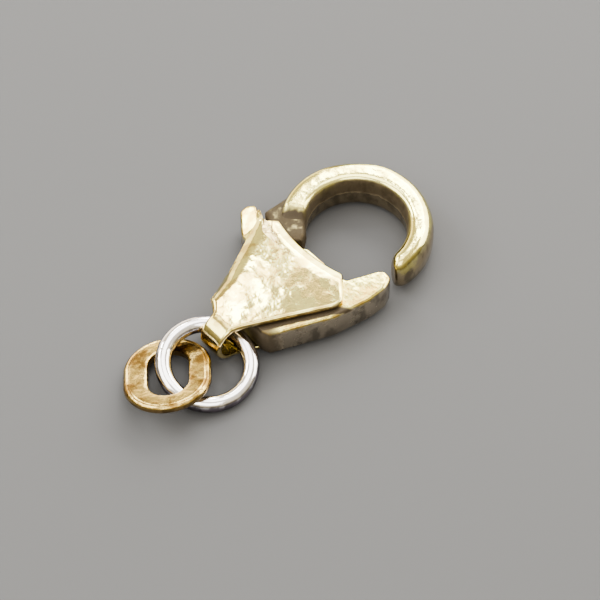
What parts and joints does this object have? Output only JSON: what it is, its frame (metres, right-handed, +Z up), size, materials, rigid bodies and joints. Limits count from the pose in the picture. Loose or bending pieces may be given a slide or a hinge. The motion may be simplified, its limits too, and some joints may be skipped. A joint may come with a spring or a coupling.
{
  "type": "lobster clasp with jump ring and end link",
  "caption": "Small gold trigger clasp with a round hook ring, a sprung lever with a thumb tab between two cheeks, a silver jump ring in its eye and an oval chain link.",
  "frame": {"origin": "centre of the hook ring, on the plane the clasp lies on", "axes": "+X from the eye toward the far end of the hook ring, +Y across toward the thumb tab, +Z up, square to the cheeks"},
  "size_m": [0.0162, 0.0074, 0.002],
  "materials": {
    "pale_gold": "polished",
    "lever_gold": "polished, worn",
    "pin_gold": "polished",
    "silver": "polished",
    "worn_gold": "worn, tarnished"
  },
  "bodies": {
    "clasp_body": {"body": "pale_gold", "hinge_pin": "pin_gold", "jump_ring": "silver", "end_link": "worn_gold"},
    "lever_body": {"lever": "lever_gold"}
  },
  "joints": [
    {"name": "lever_hinge", "type": "hinge", "parent": "clasp_body", "child": "lever_body", "pos_m": [-0.0053, -0.0003, 0.001], "axis": [0, 0, 1], "range_deg": [0, 22], "stiffness_Nm_per_rad": 0.01, "springref_deg": -34.38}
  ]
}
